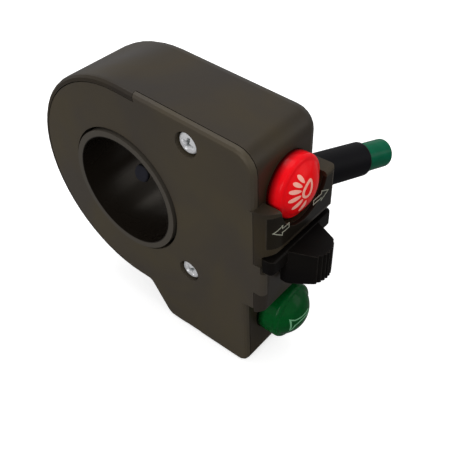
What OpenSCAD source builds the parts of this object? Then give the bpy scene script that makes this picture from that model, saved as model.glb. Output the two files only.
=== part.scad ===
// Handlebar switch cluster: turn signal slider, headlight button and horn button.
// X runs along the handlebar, from the side cover (X = 0) to the far side.
// The controls face -Y and +Z is up. The origin is the centre of the handlebar bore.

/* [Handlebar clamp] */
// Diameter of the bore that takes a 22.2 mm handlebar
bore_d = 22.3; // [22.2:0.05:22.8]
// Wall of the tube that goes round the handlebar
sleeve_wall = 1.27; // [1.1:0.01:1.5]
// How far the tube stands out of the side cover
ring_proud = 0.45; // [0.2:0.05:1]
// Clear gap between the tube and the hole of the side cover
ring_gap = 0.5; // [0.3:0.05:0.8]
// Radius of the grub screw that bears on the handlebar
grub_r = 1.95; // [1.5:0.05:2.2]
// Length of the grub screw
grub_len = 6; // [5:0.5:7]
// Place of the grub screw along the handlebar
grub_x = 11.8; // [11:0.1:12]
// Angle of the grub screw below the rear of the axis
grub_angle = 39.5; // [35:0.5:45]

/* [Housing] */
// Width of the housing along the handlebar
body_w = 17.6; // [17.4:0.1:19]
// Distance from the handlebar axis to the rear wall
rear_r = 22.5; // [22:0.1:23.5]
// Distance from the handlebar axis to the upper front face
front_reach = 30; // [29.6:0.1:31]
// Fall of the top face towards the front, in degrees
top_fall = 4.26; // [3.5:0.1:4.8]
// Distance from the handlebar axis down to the chin
chin_drop = 29.8; // [29.2:0.1:31]
// Length of the chin, front to back
chin_len = 20.7; // [20:0.1:21.5]
// How far the lower front face lies behind the upper one
lower_setback = 2; // [1.6:0.1:2.4]
// Wall thickness of the housing
wall = 2; // [1.8:0.1:2.2]
// Rounding of the edge round the side cover
near_round = 1; // [0.6:0.1:1]
// Rounding of the far edge
far_round = 3; // [2:0.1:3.2]

/* [Side cover] */
// Thickness of the side cover
cover_t = 2; // [1.9:0.05:2.2]
// Thickness of the cover's lip round the front
lip_t = 1.2; // [1:0.05:1.4]
// Width of the housing's rim beside the cover
rim_w = 1.1; // [0.9:0.05:1.3]
// Gap of the seam between the cover and the housing
seam = 0.15; // [0.1:0.05:0.25]
// Radius of the head of a cover screw
head_r = 2; // [1.8:0.05:2.1]
// Thickness of the head of a cover screw
head_t = 1.3; // [1.1:0.05:1.4]
// Radius of the shank of a cover screw
shank_r = 1.2; // [1:0.05:1.3]
// Length of a cover screw under its head
shank_len = 8; // [6:0.5:10]
// How deep the screw heads lie in the cover
head_sink = 0.35; // [0.3:0.05:0.5]

/* [Pod] */
// Height of the pod's top above the handlebar axis
pod_top = 10.6; // [10:0.1:11]
// How far the arrow face stands in front of the upper front face
arrow_proud = 3.5; // [3.2:0.1:3.8]
// How far the lower pod face stands in front of the upper front face
pod_proud = 2; // [1.8:0.1:2.2]
// How far the floor of the slider recess stands in front of it
recess_proud = 1.3; // [1.1:0.1:1.4]
// Radius of the pod's corner beside the cover
pod_corner = 3.5; // [3:0.1:3.6]
// Thickness of the arrow plate
fascia_t = 0.8; // [0.6:0.05:1]

/* [Buttons] */
// Radius of both push buttons
button_r = 5.5; // [5:0.1:5.7]
// Running clearance round a button or a plunger
run_gap = 0.06; // [0.04:0.01:0.08]
// Travel of the headlight button
light_travel = 2; // [1.5:0.1:2]
// Travel of the horn button
horn_travel = 2; // [1.5:0.1:2]
// Height of the headlight button's axis
light_z = 11; // [10.7:0.1:11.3]
// Depth of the horn button's axis below the handlebar axis
horn_drop = 19; // [18.7:0.1:19.3]
// Height of the headlight button's rim over its face
light_rim = 2.7; // [2.4:0.1:3]
// Height of the horn button's rim over its face
horn_rim = 4.4; // [3.8:0.1:4.8]
// Height of the headlight button's dome over its rim
light_dome = 1.9; // [1.5:0.1:2.4]
// Height of the horn button's dome over its rim
horn_dome = 2.5; // [1.9:0.1:2.6]
// Width of a button's flange
flange_w = 1; // [0.8:0.05:1.2]
// Thickness of a button's flange
flange_t = 1.2; // [1:0.05:1.4]
// Radius of a plunger's stem
stem_r = 2; // [1.8:0.05:2.1]
// Wire radius of the button springs
button_wire = 0.25; // [0.2:0.01:0.3]

/* [Slider] */
// Travel of the slider to each side
slide_travel = 3; // [2.5:0.1:3.1]
// Length of the slider's skirt
skirt_len = 17; // [16.5:0.1:17.5]
// Height of the slider's skirt
skirt_h = 2.9; // [2.8:0.05:3.1]
// Thickness of the slider's skirt
skirt_t = 2.2; // [2:0.05:2.4]
// Height of the slider's axis, below the handlebar axis
slider_drop = 0.25; // [0.1:0.05:0.4]
// Width of the thumb knob at its foot
knob_w = 9; // [8.6:0.1:9.4]
// Width of the thumb knob at its tip
knob_tip_w = 5.8; // [5.4:0.1:6.2]
// Height of the thumb knob
knob_h = 7.4; // [7:0.1:7.6]
// Reach of the thumb knob in front of its skirt
knob_reach = 5.2; // [4.8:0.1:5.6]
// Number of grip ribs on the thumb knob
knob_ribs = 8; // [6:1:9]
// Depth of the grooves between the grip ribs
rib_depth = 0.35; // [0.25:0.05:0.4]
// Length of the carriage along its travel
carriage_len = 7.2; // [7:0.1:7.3]
// Radius of the detent ball
ball_r = 1; // [0.9:0.05:1.1]

/* [Circuit] */
// Distance from the upper front face back to the board
board_back = 8.4; // [8.3:0.05:8.6]
// Thickness of the board
board_t = 1.2; // [1:0.1:1.4]
// Width of a switch module
module_w = 7; // [6.8:0.1:7.4]
// Room behind a switch piston at the end of its travel
end_room = 0.6; // [0.4:0.1:1]
// Thickness of the brass terminals
terminal_t = 0.4; // [0.3:0.05:0.5]

/* [Lead] */
// Radius of the lead's boot
boot_r = 3.75; // [3.5:0.05:4]
// Radius of the inner cable
core_r = 2.15; // [2:0.05:2.3]
// Radius of the green end of the lead
end_r = 3.2; // [2.9:0.05:3.3]
// Length of the straight outer stretch of the boot
boot_len = 24.5; // [21:0.5:27]
// Visible length of the green end
end_len = 7.2; // [4:0.2:10]
// Angle between the lead and the handlebar axis
lead_bend = 18.8; // [15:0.2:23]

/* [Hidden] */

$fn = 48;
far = 60;

// Handlebar clamp
bore_r = bore_d / 2;
sleeve_r = bore_r + sleeve_wall;
insert_r = grub_r + 1.1;
insert_len = 5.5;
thread_gap = 0.05;
grub_back = 0.9;

// Side outline
front_y = -front_reach;
low_y = front_y + lower_setback;
step_z = -12.5;
top_rise = tan(top_fall);
top_z = rear_r / cos(top_fall);
chin_back = low_y + chin_len;
chin_slope = 4.6;
far_in = body_w - wall;
mid_x = body_w / 2;

// Corners of the side outline, each [y, z, radius, steps], with a negative radius on an inward corner
side_corners = [
    [rear_r, top_z + top_rise * rear_r, rear_r, 16],
    [front_y, top_z + top_rise * front_y, 4, 5],
    [front_y, step_z, 0.6, 2],
    [low_y, step_z, -0.6, 2],
    [low_y, -chin_drop, 2, 4],
    [chin_back, -chin_drop, 2.5, 4],
    [chin_back + chin_slope, -rear_r, -1.5, 3],
    [rear_r, -rear_r, rear_r, 14]];

// Pod
arrow_y = front_y - arrow_proud;
pod_y = front_y - pod_proud;
floor_y = front_y - recess_proud;
recess_top = 2.4;
recess_low = -2.2;
pod_low = -11.6;
tab_top = -0.7;
tab_low = -7.5;
tab_round = 1;
pod_side = [
    [front_y + 1, pod_top, 0, 1],
    [arrow_y, pod_top, 0.7, 3],
    [arrow_y, recess_top, 0.9, 3],
    [floor_y, recess_top - 0.9, -0.6, 3],
    [floor_y, recess_low, -0.2, 2],
    [pod_y, recess_low - 0.2, 0.5, 3],
    [pod_y, pod_low, 1, 3],
    [front_y, step_z, 0, 1],
    [front_y + 1, step_z, 0, 1]];

// Side cover
cover_r = sleeve_r + ring_gap;
upper_screw = [front_y + 13.1, 17.3];
lower_screw = [front_y + 15.4, -12.1];
screw_places = [upper_screw, lower_screw];
cut_top = [-6.2, 20];
cut_low = [5.2, -21.3];
head_gap = 0.25;
seat_x = head_sink + head_t;
pad_x = seat_x + 1.1;
pad_r = head_r + 1.2;
boss_r = shank_r + 1.4;
boss_x = pad_x;

// Buttons
well_r = button_r + 0.6;
flange_r = button_r + flange_w;
flange_gap = 0.05;
flange_room = 0.25;
cap_wall = 1.2;
cap_front = 1.5;
pin_front = 1.8;
cap_boss_r = stem_r + 0.6;
stem_pin_r = stem_r - 0.8;
piston_r = stem_r + 0.55;
piston_t = 1.2;
piston_in = 1.4;
module_floor = 1;
latch_d = piston_in + piston_t + light_travel + end_room + module_floor;
horn_d = piston_in + piston_t + horn_travel + end_room + module_floor;

// Circuit
board_y = front_y + board_back;
board_rear = board_y + board_t;
board_x = cover_t + 0.3;
board_end = far_in - 0.3;
board_low = -chin_drop + wall + 1.8;
board_top = 16;
stem_hole_r = stem_r + 0.8;
latch_z = [light_z - 3.6, light_z + 3.4];
horn_z = -horn_drop;

// Slider
slider_z = -slider_drop;
slide_gap = 0.2;
skirt_back = floor_y - slide_gap;
skirt_y = skirt_back - skirt_t;
neck_w = 3.6;
neck_h = 2.3;
slot_h = neck_h + 0.3;
slot_w = neck_w + 2 * slide_travel + 0.5;
carriage_y = front_y + 0.6;
carriage_back = board_y - 3.4;
carriage_top = 3;
carriage_low = -5.4;
pocket_y = carriage_y - slide_gap;
rail_gap = 0.1;
rail_t = 1;
block_y = board_y - 2.6;
contact_top = 2.8;
contact_low = 1.3;
ball_z = -3.6;
ball_hole_r = ball_r + 0.05;
ball_y = block_y - ball_r - 0.05;
screw_r = 0.8;

// Lead
lead_back = 4.25;
lead_y = board_rear + lead_back;
lead_z = -4.5;
lead_roll = 217.4;
lead_radius = 9;
neck_r = boot_r - 0.55;
clamp_t = 2;
clamp_wall = 1.35;
core_in = far_in - clamp_t - 2.1;
lead_start = body_w + 2.4;
bend_len = lead_radius * lead_bend * PI / 180;
end_seat = 5;
lead_sides = 24;
bend_steps = 6;

function unit(v) = v / norm(v);
function inward(a, b) = let (u = unit([b[0] - a[0], b[1] - a[1]])) [-u[1], u[0]];

// Radius that is left of a corner after the outline moves in by d
function left_radius(r, d) = r > 0 ? max(r - d, 0.2) : r;

// Points round corner i of an outline that lies d inside its corners
function corner_arc(c, i, d) =
    let (n = len(c),
        v = c[i],
        n1 = inward(c[(i + n - 1) % n], v),
        n2 = inward(v, c[(i + 1) % n]),
        mitre = (n1 + n2) / (1 + n1 * n2),
        r = left_radius(v[2], d),
        a1 = atan2(n1[1], n1[0]),
        turn = atan2(n1[0] * n2[1] - n1[1] * n2[0], n1 * n2),
        centre = [v[0], v[1]] + (d + r) * mitre)
    v[2] == 0 ? [[v[0], v[1]] + d * mitre]
        : [for (k = [0:v[3]]) let (a = a1 + turn * k / v[3]) centre - r * [cos(a), sin(a)]];

function outline(c, d) = [for (i = [0:len(c) - 1]) for (p = corner_arc(c, i, d)) p];

// The side outline, without the point that its two rear arcs share
function side_outline(d) =
    let (p = outline(side_corners, d))
    [for (i = [0:len(p) - 2]) p[i]];

// Extrudes a side outline along the handlebar, from x0 to x1
module along_bar(x0, x1, points) {
    translate([x0, 0, 0])
        rotate([90, 0, 90])
            linear_extrude(x1 - x0)
                polygon(points);
}

// A box from its lowest to its highest corner
module block(a, b) {
    translate(a)
        cube([b[0] - a[0], b[1] - a[1], b[2] - a[2]]);
}

// A cylinder along X, and one along Y from y0 to y1
module rod_x(r, x0, x1, y, z) {
    translate([x0, y, z])
        rotate([0, 90, 0])
            cylinder(r = r, h = x1 - x0);
}

module rod_y(r, y0, y1, x, z) {
    translate([x, y0, z])
        rotate([-90, 0, 0])
            cylinder(r = r, h = y1 - y0);
}

// A cylinder that runs from the handlebar axis along the grub screw, from s0 to s1
module rod_grub(r, s0, s1, sides = 48) {
    rotate([-grub_angle, 0, 0])
        translate([grub_x, s0, 0])
            rotate([-90, 0, 0])
                cylinder(r = r, h = s1 - s0, $fn = sides);
}

// The housing's outer shape: side outlines in layers, drawn in at both edges, and cut flat at both ends
near_steps = 3;
far_steps = 5;
function near_layer(a) = [near_round * (1 - cos(a)), near_round * (1 - sin(a))];
function far_layer(a) = [body_w - far_round * (1 - cos(a)), far_round * (1 - sin(a))];

// A layer as far past its end face as the given one lies before it
function past(layer, x, round_r) = [2 * x - layer[0], 2 * round_r - layer[1]];
shell_layers = concat(
    [past(near_layer(90 / near_steps), 0, near_round)],
    [for (k = [1:near_steps]) near_layer(90 * k / near_steps)],
    [for (k = [far_steps:-1:1]) far_layer(90 * k / far_steps)],
    [past(far_layer(90 / far_steps), body_w, far_round)]);

module shell_body() {
    rings = [for (layer = shell_layers) side_outline(layer[1])];
    count = len(rings[0]);
    last = len(rings) - 1;
    points = [for (i = [0:last]) for (p = rings[i]) [shell_layers[i][0], p[0], p[1]]];
    sides = [for (i = [0:last - 1]) for (j = [0:count - 1]) let (k = (j + 1) % count)
        [i * count + j, (i + 1) * count + j, (i + 1) * count + k, i * count + k]];
    near_cap = [for (j = [0:count - 1]) j];
    far_cap = [for (j = [0:count - 1]) last * count + count - 1 - j];
    intersection() {
        polyhedron(points, concat([near_cap, far_cap], sides));
        block([0, -far, -far], [body_w, far, far]);
    }
}

// A slab of the pod with rounded upright corners, front at y and from z0 to z1
module pod_slab(y, near_r, far_r, z0, z1) {
    plan = [[0, front_y + 1, 0, 1], [0, y, near_r, 7], [body_w, y, far_r, 3],
        [body_w, front_y + 1, 0, 1]];
    translate([0, 0, z0])
        linear_extrude(z1 - z0)
            polygon(outline(plan, 0));
}

module pod() {
    intersection() {
        along_bar(-1, body_w + 1, outline(pod_side, 0));
        union() {
            pod_slab(arrow_y, pod_corner, 1, recess_top - 1.2, far);
            pod_slab(floor_y - 0.4, 1.6, 1, recess_low - 0.1, recess_top - 1.2);
            pod_slab(pod_y, 2, 1, -far, recess_low - 0.1);
        }
    }
}

// The space that the side cover fills, which the housing leaves open
module cover_space(gap, slack) {
    along_bar(-1, cover_t, side_outline(rim_w + gap));
    along_bar(-1, lip_t + slack, [
        cut_top + gap * [-1, 0], cut_top + [2, 6],
        [front_y, far], [front_y, -far], cut_low + [0, -12], cut_low + gap * [-1, 0]]);
}

// Tab of the side cover in the near corner of the pod
module cover_tab() {
    intersection() {
        along_bar(-1, lip_t, outline(pod_side, 0));
        pod_slab(pod_y, tab_round, tab_round, tab_low, tab_top);
    }
}

module button_hole(z, y0, y1) {
    rod_y(button_r + run_gap, y0, y1, mid_x, z);
}

module sleeve() {
    rod_x(sleeve_r, -ring_proud, body_w - wall / 2, 0, 0);
}

module screw_bosses() {
    for (p = screw_places)
        rod_x(boss_r, boss_x, body_w - wall / 2, p[0], p[1]);
}

module slider_rails() {
    for (z = [carriage_top + rail_gap, carriage_low - rail_gap - rail_t])
        block([cover_t + 0.1, front_y + wall / 2, z],
            [body_w - wall / 2, carriage_back, z + rail_t]);
}

// Ribs on the far wall that hold the far edge of the board
module board_ribs() {
    for (z = [4.6, -13])
        for (y = [board_y - 0.95, board_rear + 0.05])
            block([far_in - 1.4, y, z], [body_w - wall / 2, y + 0.9, z + 1.8]);
}

module main_housing() {
    color("#2b2724")
        difference() {
            union() {
                difference() {
                    union() {
                        shell_body();
                        pod();
                    }
                    along_bar(cover_t - 0.1, far_in, side_outline(wall));
                    cover_space(0, seam);
                }
                intersection() {
                    shell_body();
                    union() {
                        screw_bosses();
                        rod_grub(insert_r + 1.5, sleeve_r - 0.5, far);
                    }
                }
                sleeve();
                slider_rails();
                board_ribs();
            }
            rod_x(bore_r, -ring_proud - 1, body_w + 1, 0, 0);
            button_hole(light_z, front_y - 1, front_y + wall + 1);
            rod_y(well_r, arrow_y - 1, front_y, mid_x, light_z);
            rod_y(flange_r + flange_room, front_y + wall + flange_gap / 2,
                front_y + wall + flange_t + light_travel + 0.5, mid_x, light_z);
            button_hole(horn_z, low_y - 1, low_y + wall + 1);
            block([mid_x - slot_w / 2, arrow_y, slider_z - slot_h / 2],
                [mid_x + slot_w / 2, front_y + wall + 1, slider_z + slot_h / 2]);
            block([cover_t - 0.1, pocket_y, carriage_low - rail_gap],
                [far_in, front_y + wall + 0.1, carriage_top + rail_gap]);
            block([-1, arrow_y, tab_low - seam], [lip_t + seam, front_y + 0.5, tab_top + seam]);
            fascia_plate(0);
            for (p = screw_places)
                rod_x(shank_r + thread_gap, boss_x - 1, far_in - 1, p[0], p[1]);
            rod_grub(grub_r + thread_gap, bore_r - 1, far);
            rod_grub(insert_r, sleeve_r + 2.5, far);
            rod_x(neck_r + thread_gap, far_in - 1, body_w + 1, lead_y, lead_z);
        }
}

module side_cover() {
    color("#332e2a")
        difference() {
            union() {
                intersection() {
                    shell_body();
                    cover_space(seam, 0);
                }
                block([0, front_y + 0.1, pod_low], [lip_t, front_y + 1.4, pod_top - 0.2]);
                cover_tab();
                intersection() {
                    for (p = screw_places)
                        rod_x(pad_r, cover_t - 0.5, pad_x, p[0], p[1]);
                    along_bar(0, pad_x, side_outline(wall + seam));
                }
            }
            rod_x(cover_r, -1, cover_t + 1, 0, 0);
            for (p = screw_places) {
                rod_x(head_r + head_gap, -1, seat_x, p[0], p[1]);
                rod_x(shank_r + 0.4, -1, pad_x + 1, p[0], p[1]);
            }
            block([-1, -16, -far], [lip_t + 1, -12, -chin_drop + 0.7]);
        }
}

// One cover screw: domed head with a cross recess, and its shank
module cover_screw() {
    difference() {
        union() {
            rotate([0, 90, 0])
                rotate_extrude()
                    polygon(concat([[0, head_t], [0, 0]],
                        [for (a = [0:15:90]) [head_r - 0.5 + 0.5 * sin(a), 0.5 - 0.5 * cos(a)]],
                        [[head_r, head_t]]));
            rod_x(shank_r, head_t - 0.1, head_t + shank_len, 0, 0);
        }
        for (a = [0, 90])
            rotate([a + 20, 0, 0])
                block([-1, -1.2, -0.25], [0.8, 1.2, 0.25]);
    }
}

module cover_screws() {
    color("#c9ccd0")
        for (p = screw_places)
            translate([head_sink, p[0], p[1]])
                cover_screw();
}

module bar_grub_screw() {
    tip = bore_r + grub_back;
    color("#6c6f74")
        difference() {
            rod_grub(grub_r, tip, tip + grub_len);
            rod_grub(grub_r / 2, tip + grub_len - 2, tip + grub_len + 1, 6);
        }
}

module grub_insert() {
    start = sleeve_r + 2.5;
    color("#b08d3c")
        difference() {
            rod_grub(insert_r, start, start + insert_len);
            rod_grub(grub_r + thread_gap, start - 1, start + insert_len + 1);
        }
}

// The arrow plate wraps the pod's front and its corner, drawn in by gap
module fascia_plate(gap) {
    plan = [[0, front_y + 1, 0, 1], [0, arrow_y, pod_corner, 7], [body_w, arrow_y, 1, 3],
        [body_w, front_y + 1, 0, 1]];
    intersection() {
        translate([0, 0, recess_top + 0.9 + gap])
            linear_extrude(pod_top - recess_top - 1.7 - 2 * gap)
                difference() {
                    polygon(outline(plan, -0.01));
                    polygon(outline(plan, fascia_t - gap));
                }
        block([0.7 + gap, arrow_y - 1, -far], [body_w - 1.1 - gap, front_y - 1, far]);
    }
}

module arrow_fascia() {
    color("#15161a")
        difference() {
            intersection() {
                fascia_plate(0.02);
                pod();
            }
            rod_y(well_r, arrow_y - 1, front_y, mid_x, light_z);
        }
}

module circuit_board() {
    color("#2f6b3a")
        difference() {
            block([board_x, board_y, board_low], [board_end, board_rear, board_top]);
            for (z = [light_z, horn_z])
                rod_y(stem_hole_r, board_y - 1, board_rear + 1, mid_x, z);
        }
}

// Body of a switch module, with the bore for its piston
module switch_body(z0, z1, axis_z, depth) {
    difference() {
        block([mid_x - module_w / 2, board_rear, z0], [mid_x + module_w / 2, board_rear + depth, z1]);
        rod_y(piston_r + run_gap, board_rear - 1, board_rear + depth - module_floor, mid_x, axis_z);
    }
}

module latch_module() {
    color("#d8d4c8")
        difference() {
            switch_body(latch_z[0], latch_z[1], light_z, latch_d);
            rod_x(0.45, mid_x + stem_r, mid_x + module_w, board_rear + 0.9, light_z);
        }
}

module latch_pin() {
    color("#9a9da2")
        rod_x(0.4, mid_x + stem_r + 0.1, mid_x + module_w / 2 + 0.1, board_rear + 0.9, light_z);
}

module horn_module() {
    color("#3a3d44")
        switch_body(horn_z - 4, horn_z + 4, horn_z, horn_d);
}

// Pair of brass terminals on the flanks of a switch module
module terminals(z, depth) {
    for (x = [mid_x - module_w / 2 - terminal_t, mid_x + module_w / 2])
        block([x, board_rear, z - 2.2], [x + terminal_t, board_rear + depth - 1.4, z - 1]);
}

module headlight_contacts() {
    color("#c7a14a")
        terminals(light_z, latch_d);
}

module horn_contacts() {
    color("#c7a14a")
        terminals(horn_z, horn_d);
}

module turn_contact_block() {
    color("#1f2a44")
        difference() {
            block([cover_t + 0.6, block_y, ball_z - ball_r], [board_end - 0.3, board_y, contact_top + 0.3]);
            for (x = [-slide_travel, 0, slide_travel])
                translate([mid_x + x, ball_y, ball_z])
                    sphere(r = ball_r + 0.42);
            contact_pads(0);
        }
}

module contact_pads(gap) {
    for (x = [-4.3, 0, 4.3])
        block([mid_x + x - 1.5 + gap, block_y - 0.01, contact_low + gap],
            [mid_x + x + 1.5 - gap, block_y + terminal_t, contact_top - gap]);
}

module turn_contacts() {
    color("#c7a14a")
        contact_pads(0);
}

// Moves to the start of the lead's straight outer stretch, which then runs along X
module at_outer_lead() {
    translate([lead_start, lead_y, lead_z])
        rotate([lead_roll, 0, 0])
            translate([0, lead_radius, 0])
                rotate([0, 0, lead_bend])
                    translate([0, -lead_radius, 0])
                        children();
}

// A point round the lead: s runs along the lead from the start of its bend,
// r is the distance from its line and a the angle round it
function lead_point(s, r, a) =
    let (t = max(0, min(lead_bend, s / lead_radius * 180 / PI)),
        rest = s < 0 ? s : max(0, s - bend_len),
        u = lead_radius * sin(t) + rest * cos(t) - r * cos(a) * sin(t),
        w = lead_radius * (1 - cos(t)) + rest * sin(t) + r * cos(a) * cos(t))
    [u, w, r * sin(a)];

// A ring of points for each [s, r] of a profile, and the faces between neighbouring rings
function lead_rings(profile) =
    [for (p = profile) for (k = [0:lead_sides - 1]) lead_point(p[0], p[1], 360 * k / lead_sides)];
function lead_skin(rings, last) = [for (i = [0:last]) for (k = [0:lead_sides - 1])
    let (j = (i + 1) % rings, m = (k + 1) % lead_sides)
    [i * lead_sides + k, j * lead_sides + k, j * lead_sides + m, i * lead_sides + m]];

module at_lead_start() {
    translate([lead_start, lead_y, lead_z])
        rotate([lead_roll, 0, 0])
            children();
}

module cable_sleeve() {
    chamfer = 0.2;
    inner_s = far_in - lead_start;
    outer_s = body_w - lead_start;
    mouth_s = bend_len + boot_len;
    profile = concat(
        [[inner_s - 1.2, neck_r + 0.8], [inner_s, neck_r + 0.8], [inner_s, neck_r],
            [outer_s, neck_r], [outer_s, boot_r]],
        [for (k = [0:bend_steps]) [bend_len * k / bend_steps, boot_r]],
        [[mouth_s - chamfer, boot_r], [mouth_s, boot_r - chamfer], [mouth_s, end_r],
            [mouth_s - end_seat, end_r], [mouth_s - end_seat, core_r]],
        [for (k = [bend_steps:-1:0]) [bend_len * k / bend_steps, core_r]],
        [[inner_s - 1.2, core_r]]);
    color("#1b1b1d")
        at_lead_start()
            polyhedron(lead_rings(profile), lead_skin(len(profile), len(profile) - 1));
}

module lead_core() {
    r = core_r - 0.05;
    profile = concat([[core_in - lead_start, r]],
        [for (k = [0:bend_steps]) [bend_len * k / bend_steps, r]],
        [[bend_len + boot_len + end_len - 1, r]]);
    last = len(profile) - 1;
    start_cap = [for (k = [0:lead_sides - 1]) k];
    end_cap = [for (k = [lead_sides - 1:-1:0]) last * lead_sides + k];
    color("#2a2a2c")
        at_lead_start()
            polyhedron(lead_rings(profile), concat([start_cap, end_cap], lead_skin(len(profile), last - 1)));
}

module cable_end() {
    color("#1d8a52")
        at_outer_lead()
            difference() {
                rod_x(end_r - 0.05, boot_len - end_seat + 0.05, boot_len + end_len, 0, 0);
                rod_x(core_r, boot_len - 6, boot_len + end_len - 1, 0, 0);
            }
}

module cable_clamp() {
    color("#26262a")
        difference() {
            block([core_in + 0.3, board_rear, lead_z - core_r - clamp_wall],
                [core_in + 0.3 + clamp_t, lead_y + core_r + clamp_wall / 2, lead_z + core_r + clamp_wall]);
            rod_x(core_r + 0.02, core_in - 1, core_in + clamp_t + 1, lead_y, lead_z);
        }
}

module lead_wires() {
    wire_r = 0.35;
    color("#c23b2e")
        for (k = [0:4]) {
            spread = (k - 2) * 0.8;
            x = core_in - 1.5 - 1.3 * k;
            rod_x(wire_r, x, core_in, lead_y, lead_z + spread);
            translate([x, lead_y, lead_z + spread])
                sphere(r = wire_r);
            rod_y(wire_r, board_rear, lead_y, x, lead_z + spread);
        }
}

// Profile of a button cap as [radius, height over its face]
function cap_profile(rim, dome, face_t) =
    let (top = rim + dome,
        edge = 0.8,
        crown = button_r - edge,
        dome_r = (crown * crown + dome * dome) / (2 * dome))
    concat(
        [for (k = [0:8]) let (r = crown * k / 8)
            [r, top - dome_r + sqrt(dome_r * dome_r - r * r)]],
        [for (a = [60:-20:0]) [crown + edge * cos(a), rim - edge + edge * sin(a)]],
        [[button_r, -face_t - flange_gap], [flange_r, -face_t - flange_gap],
            [flange_r, -face_t - flange_gap - flange_t],
            [button_r - cap_wall, -face_t - flange_gap - flange_t],
            [button_r - cap_wall, rim - cap_front], [cap_boss_r, rim - cap_front],
            [cap_boss_r, -face_t - flange_t], [stem_pin_r, -face_t - flange_t],
            [stem_pin_r, rim - pin_front], [0, rim - pin_front]]);

module button_cap(z, face_y, rim, dome) {
    translate([mid_x, face_y, z])
        rotate([90, 0, 0])
            rotate_extrude()
                polygon(cap_profile(rim, dome, wall));
}

// Stem and piston that a button pushes into its switch
module plunger(z, face_y, rim) {
    stem_front = face_y + wall + flange_t;
    rod_y(stem_pin_r, face_y - rim + pin_front + 0.1, stem_front + 0.1, mid_x, z);
    rod_y(stem_r, stem_front, board_rear + piston_in + 0.2, mid_x, z);
    rod_y(piston_r, board_rear + piston_in, board_rear + piston_in + piston_t, mid_x, z);
}

// Helix of wire along Y, from y0 to y1, as one closed tube
module coil(mean_r, wire, turns, y0, y1, x, z) {
    per_turn = 14;
    sides = 6;
    steps = turns * per_turn;
    rise = y1 - y0 - 2 * wire;
    points = [for (i = [0:steps]) for (k = [0:sides - 1])
        let (a = 360 * i / per_turn, b = 360 * k / sides, r = mean_r + wire * cos(b))
        [x + r * cos(a), y0 + wire + rise * i / steps + wire * sin(b), z + r * sin(a)]];
    skin = [for (i = [0:steps - 1]) for (k = [0:sides - 1]) let (m = (k + 1) % sides)
        [i * sides + k, i * sides + m, (i + 1) * sides + m, (i + 1) * sides + k]];
    start_cap = [for (k = [0:sides - 1]) sides - 1 - k];
    end_cap = [for (k = [0:sides - 1]) steps * sides + k];
    polyhedron(points, concat([start_cap, end_cap], skin));
}

module button_spring(face_y, rim, z) {
    coil(button_r - cap_wall - 0.9, button_wire, 6,
        face_y - rim + cap_front + 0.05, board_y - 0.05, mid_x, z);
}

module headlight_button() {
    color("#e0202c")
        button_cap(light_z, front_y, light_rim, light_dome);
}

module headlight_plunger() {
    color("#e8e4da")
        plunger(light_z, front_y, light_rim);
}

module headlight_spring() {
    color("#b9bcc0")
        button_spring(front_y, light_rim, light_z);
}

module horn_button() {
    color("#0f8a4a")
        button_cap(horn_z, low_y, horn_rim, horn_dome);
}

module horn_plunger() {
    color("#e8e4da")
        plunger(horn_z, low_y, horn_rim);
}

module horn_spring() {
    color("#b9bcc0")
        button_spring(low_y, horn_rim, horn_z);
}

// Plan of the thumb knob as [x, y], with its grip ribs along the tip
rib_steps = 6;
knob_foot_y = pod_y - 0.3;
knob_tip_y = skirt_y - knob_reach;
knob_fall = 0.4;
knob_bow = 1.3;
function knob_tip(t) =
    let (bow = knob_bow * (1 - pow(2 * t - 1, 2)),
        wave = rib_depth * abs(sin(180 * knob_ribs * t)))
    [mid_x - knob_tip_w / 2 + knob_tip_w * t,
        knob_tip_y + knob_bow + knob_fall * t - bow - wave];
knob_plan = concat(
    [[mid_x - knob_w / 2, knob_foot_y], [mid_x - knob_w / 2, skirt_y + 0.2]],
    [for (i = [0:knob_ribs * rib_steps]) knob_tip(i / (knob_ribs * rib_steps))],
    [[mid_x + knob_w / 2, skirt_y + 0.2], [mid_x + knob_w / 2, knob_foot_y]]);

knob_top = slider_z + skirt_h / 2 - 0.1;
knob_side = [
    [skirt_back, knob_top, 0, 1],
    [knob_tip_y - 1, knob_top, 0, 1],
    [knob_tip_y - 1, knob_top - knob_h + 1.6, 0, 1],
    [skirt_y - 0.6, knob_top - knob_h, 0.8, 3],
    [knob_foot_y, knob_top - knob_h, 0.3, 2],
    [knob_foot_y, slider_z - skirt_h / 2, 0, 1],
    [skirt_back, slider_z - skirt_h / 2, 0, 1]];

module slider_knob() {
    skirt_side = [
        [skirt_back, slider_z + skirt_h / 2, 0.2, 2],
        [skirt_y, slider_z + skirt_h / 2, 0.5, 3],
        [skirt_y, slider_z - skirt_h / 2, 0.5, 3],
        [skirt_back, slider_z - skirt_h / 2, 0.2, 2]];
    skirt_plan = [
        [mid_x - skirt_len / 2, skirt_back, 0.2, 2],
        [mid_x - skirt_len / 2, skirt_y, 1.2, 4],
        [mid_x + skirt_len / 2, skirt_y, 1.2, 4],
        [mid_x + skirt_len / 2, skirt_back, 0.2, 2]];
    color("#24211f")
        difference() {
            union() {
                intersection() {
                    along_bar(-far, far, outline(skirt_side, 0));
                    translate([0, 0, -far])
                        linear_extrude(2 * far)
                            polygon(outline(skirt_plan, 0));
                }
                intersection() {
                    along_bar(-far, far, outline(knob_side, 0));
                    translate([0, 0, -far])
                        linear_extrude(2 * far)
                            polygon(knob_plan);
                }
                block([mid_x - neck_w / 2, skirt_back - 0.1, slider_z - neck_h / 2],
                    [mid_x + neck_w / 2, carriage_y, slider_z + neck_h / 2]);
            }
            rod_y(screw_r, skirt_back - 0.6, carriage_y + 1, mid_x, slider_z);
        }
}

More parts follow.
